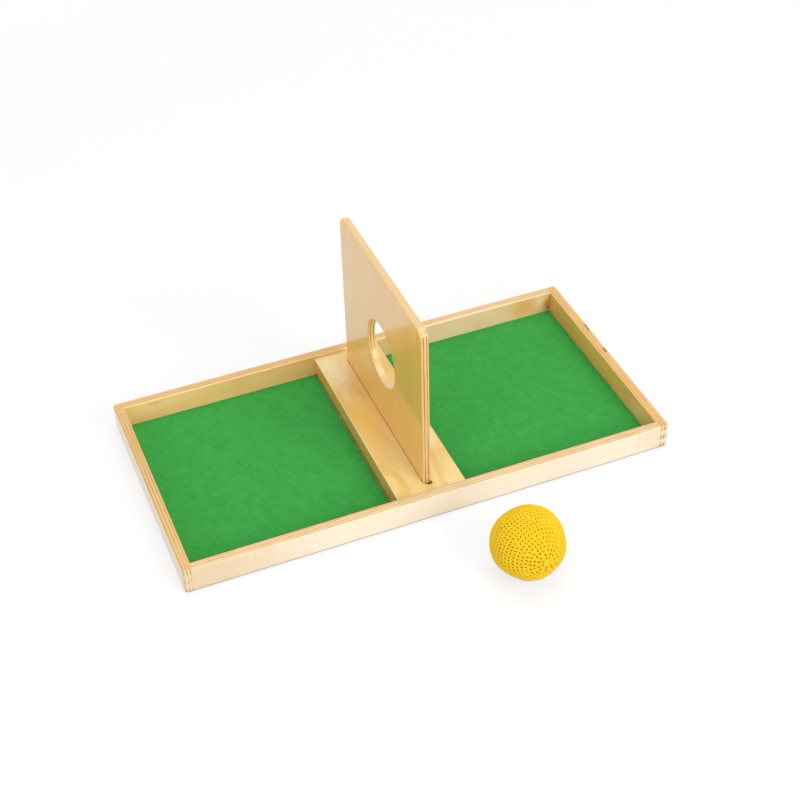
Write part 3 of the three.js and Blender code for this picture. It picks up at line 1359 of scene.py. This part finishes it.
    def _tube(self, name: str, path: np.ndarray, material: Material) -> Object:
        """Sweeps the yarn round its centre line.

        Args:
            name: the piece's name.
            path: the centre line.
            material: the yarn.

        Returns:
            The piece, with a map that runs round and along the yarn.
        """
        ahead = np.gradient(path, axis=0)
        ahead /= np.linalg.norm(ahead, axis=1, keepdims=True)
        across = np.cross(ahead, path - self.centre)
        across /= np.linalg.norm(across, axis=1, keepdims=True)
        up = np.cross(across, ahead)
        count, sides = len(path), self.sides
        angles = (np.arange(sides) * math.tau / sides)[None, :, None]
        rings = path[:, None] + self.yarn_radius * (
            np.cos(angles) * across[:, None] + np.sin(angles) * up[:, None]
        )
        start = (np.arange(count - 1) * sides)[:, None]
        first, after = start + np.arange(sides), start + (np.arange(sides) + 1) % sides
        quads = np.stack((first, after, after + sides, first + sides), -1).reshape(-1, 4)
        caps = [tuple(reversed(range(sides))), tuple(range((count - 1) * sides, count * sides))]
        piece = new_piece(name, rings.reshape(-1, 3), quads.tolist() + caps, material)
        self._map(piece, path)
        return piece

    def _map(self, piece: Object, path: np.ndarray) -> None:
        """Maps the yarn: once round it is 1, and its length is counted in yarn radii.

        Args:
            piece: the swept yarn.
            path: its centre line.
        """
        stretches = np.linalg.norm(np.diff(path, axis=0), axis=1)
        length = np.concatenate(([0.0], np.cumsum(stretches))) / self.yarn_radius
        low = np.tile(np.arange(self.sides) / self.sides, len(stretches))
        high = low + 1 / self.sides
        start, end = np.repeat(length[:-1], self.sides), np.repeat(length[1:], self.sides)
        corners = ((low, start), (high, start), (high, end), (low, end))
        walls = np.stack([np.stack(corner, -1) for corner in corners], 1).reshape(-1, 2)
        flat = np.zeros((len(piece.data.loops), 2))
        flat[: len(walls)] = walls
        piece.data.uv_layers.new(name=YARN_MAP).data.foreach_set("uv", flat.ravel())

    def _wad(self, name: str, material: Material) -> Object:
        """Makes the lumpy wad that shows between the stitches.

        Args:
            name: the piece's name.
            material: the fibre.

        Returns:
            The piece.
        """
        low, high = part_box("ball_filling")
        radius = (high.x - low.x) / 2 + self.wad_growth
        rows, columns = self.wad_rows, self.wad_columns
        rng = np.random.default_rng(self.seed + 1)
        waves = rng.normal(0, self.wad_wave_pace, (self.wad_waves, 3))
        phases = rng.uniform(0, math.tau, self.wad_waves)
        points, faces = [], []
        for row, theta in enumerate(np.linspace(0, math.pi, rows + 1)):
            for index in range(columns if 0 < row < rows else 1):
                phi = math.tau * index / columns
                flat = math.sin(theta)
                way = np.array((flat * math.cos(phi), flat * math.sin(phi), math.cos(theta)))
                lump = float(np.sin(waves @ way + phases).mean())
                reach = radius * (1 + self.wad_lump * lump) + float(self._swell(way[None])[0])
                points.append(self.centre + way * reach)
        last = len(points) - 1
        for index in range(columns):
            after = (index + 1) % columns
            faces.append((0, 1 + index, 1 + after))
            for upper in range(1, last - columns, columns):
                lower = upper + columns
                faces.append((upper + index, lower + index, lower + after, upper + after))
            faces.append((last - columns + index, last, last - columns + after))
        return new_piece(name, np.array(points), faces, material)


@dataclass(frozen=True)
class Lamp:
    """A soft square lamp: where it hangs, the length of its sides and its watts."""

    name: str
    place: tuple[float, float, float]
    size: float
    power: float


@dataclass
class Studio:
    """Camera, lamps, white surround and floor.

    The surround is the light of the world. The floor shows this share of its shade near the
    object and fades to plain white between two distances.
    """

    azimuth: float = -21.16
    elevation: float = 40.68
    roll: float = -1.71
    distance: float = 1.65618
    aim: tuple[float, float, float] = (0.03283, 0.04676, 0.0)
    focal_pixels: float = 1559.4
    clip: tuple[float, float] = (0.05, 50.0)
    surround: float = 0.56
    floor_shade: float = 0.3
    floor_bounce: float = 0.7
    floor_seen: float = 0.9
    floor_fade: tuple[float, float] = (0.6, 1.3)
    floor_reach: float = 20.0
    floor_drop: float = 0.2 * MM
    lamp_aim: tuple[float, float, float] = (0, 0, 0.05)
    lamps: tuple[Lamp, ...] = (
        Lamp("Key lamp", (1.4, -3.1, 2.2), 2.0, 74.0),
        Lamp("Left fill", (-2.7, -2.3, 1.6), 2.0, 30.0),
        Lamp("Top lamp", (0.2, 0.3, 3.5), 2.5, 47.0),
    )

    def build(self) -> None:
        """Sets up everything around the object."""
        self._camera()
        self._world()
        self._floor()
        for lamp in self.lamps:
            self._hang(lamp)
        bpy.context.scene.view_settings.view_transform = "Standard"

    def _camera(self) -> None:
        """Places the camera at the photograph's viewpoint."""
        data = bpy.data.cameras.new("Camera")
        data.sensor_width = SENSOR_WIDTH
        data.lens = self.focal_pixels * SENSOR_WIDTH / PHOTO_PIXELS
        data.clip_start, data.clip_end = self.clip
        turn = Matrix.Rotation(math.radians(self.azimuth), 3, "Z")
        tilt = Matrix.Rotation(math.radians(90 - self.elevation), 3, "X")
        bank = Matrix.Rotation(math.radians(self.roll), 3, "Z")
        aimed = turn @ tilt @ bank
        place = Vector(self.aim) + aimed @ Vector((0, 0, self.distance))
        camera = bpy.data.objects.new("Camera", data)
        camera.matrix_world = Matrix.Translation(place) @ aimed.to_4x4()
        bpy.context.scene.collection.objects.link(camera)
        bpy.context.scene.camera = camera

    def _world(self) -> None:
        """Makes an even pale surround, which the camera and reflections see as white."""
        world = bpy.data.worlds.new("Surround")
        world.use_nodes = True
        bpy.context.scene.world = world
        graph = Graph(world.node_tree)
        background = world.node_tree.nodes["Background"]
        graph.feed(background.inputs["Color"], WHITE)
        seen = graph.times(self._looked_at(graph), 1 - self.surround)
        graph.feed(background.inputs["Strength"], graph.plus(seen, self.surround))

    def _floor(self) -> None:
        """Lays a white floor that shows the object's faint shadow and runs out into plain white."""
        material = bpy.data.materials.new("White floor")
        material.use_nodes = True
        nodes = material.node_tree.nodes
        graph = Graph(material.node_tree)
        shader = nodes["Principled BSDF"]
        looked_at = self._looked_at(graph)
        bounce, seen = self._grey(self.floor_bounce), self._grey(self.floor_seen)
        graph.feed(shader.inputs["Base Color"], graph.mix(looked_at, bounce, seen))
        graph.feed(shader.inputs["Roughness"], 0.9)
        graph.feed(shader.inputs["Specular IOR Level"], 0.0)
        glow = graph.add("ShaderNodeEmission")
        graph.feed(glow.inputs["Color"], WHITE)
        place = graph.add("ShaderNodeTexCoord").outputs["Object"]
        away = graph.vector("LENGTH", place).outputs["Value"]
        white = graph.span(away, *self.floor_fade, start=1 - self.floor_shade)
        both = graph.add("ShaderNodeMixShader")
        graph.feed(both.inputs[0], graph.times(looked_at, white))
        graph.feed(both.inputs[1], shader.outputs[0])
        graph.feed(both.inputs[2], glow.outputs[0])
        graph.feed(nodes["Material Output"].inputs["Surface"], both.outputs[0])
        corners = np.array([(-1, -1, 0), (1, -1, 0), (1, 1, 0), (-1, 1, 0)]) * self.floor_reach
        floor = new_piece("floor", corners - (0, 0, self.floor_drop), [(0, 1, 2, 3)], material)

    @staticmethod
    def _grey(level: float) -> tuple[float, float, float, float]:
        """Gives a grey of one level."""
        return (level, level, level, 1.0)

    @staticmethod
    def _looked_at(graph: Graph) -> NodeSocket:
        """Finds out who looks at a surface.

        Args:
            graph: graph of the floor or the world.

        Returns:
            1 where the camera, a reflection or glass looks, and 0 for light.
        """
        path = graph.add("ShaderNodeLightPath")
        camera, gloss = path.outputs["Is Camera Ray"], path.outputs["Is Glossy Ray"]
        either = graph.math("MAXIMUM", camera, gloss)
        return graph.math("MAXIMUM", either, path.outputs["Is Transmission Ray"])

    def _hang(self, lamp: Lamp) -> None:
        """Hangs one lamp and points it at the middle of the object.

        Args:
            lamp: what is hung.
        """
        data = bpy.data.lights.new(lamp.name, "AREA")
        data.size = lamp.size
        data.energy = lamp.power
        way = Vector(self.lamp_aim) - Vector(lamp.place)
        hung = bpy.data.objects.new(lamp.name, data)
        hung.location = lamp.place
        hung.rotation_euler = way.to_track_quat("-Z", "Y").to_euler()
        bpy.context.scene.collection.objects.link(hung)


def main() -> None:
    """Builds the studio and every piece in order."""
    logging.basicConfig(level=logging.INFO, format="%(name)s: %(message)s")
    Studio().build()
    effects = Effects()
    Woodwork(effects, soft_edges()).dress()
    felt = Felt("Green felt").make(effects)
    FeltPad("left_felt", "left_felt_pad", seed=3).build(felt)
    FeltPad("right_felt", "right_felt_pad", seed=5).build(felt)
    CrochetBall().build(Yarn("Yellow yarn").make(effects), Wadding("Fibre wadding").make(effects))


if __name__ == "__main__":
    main()
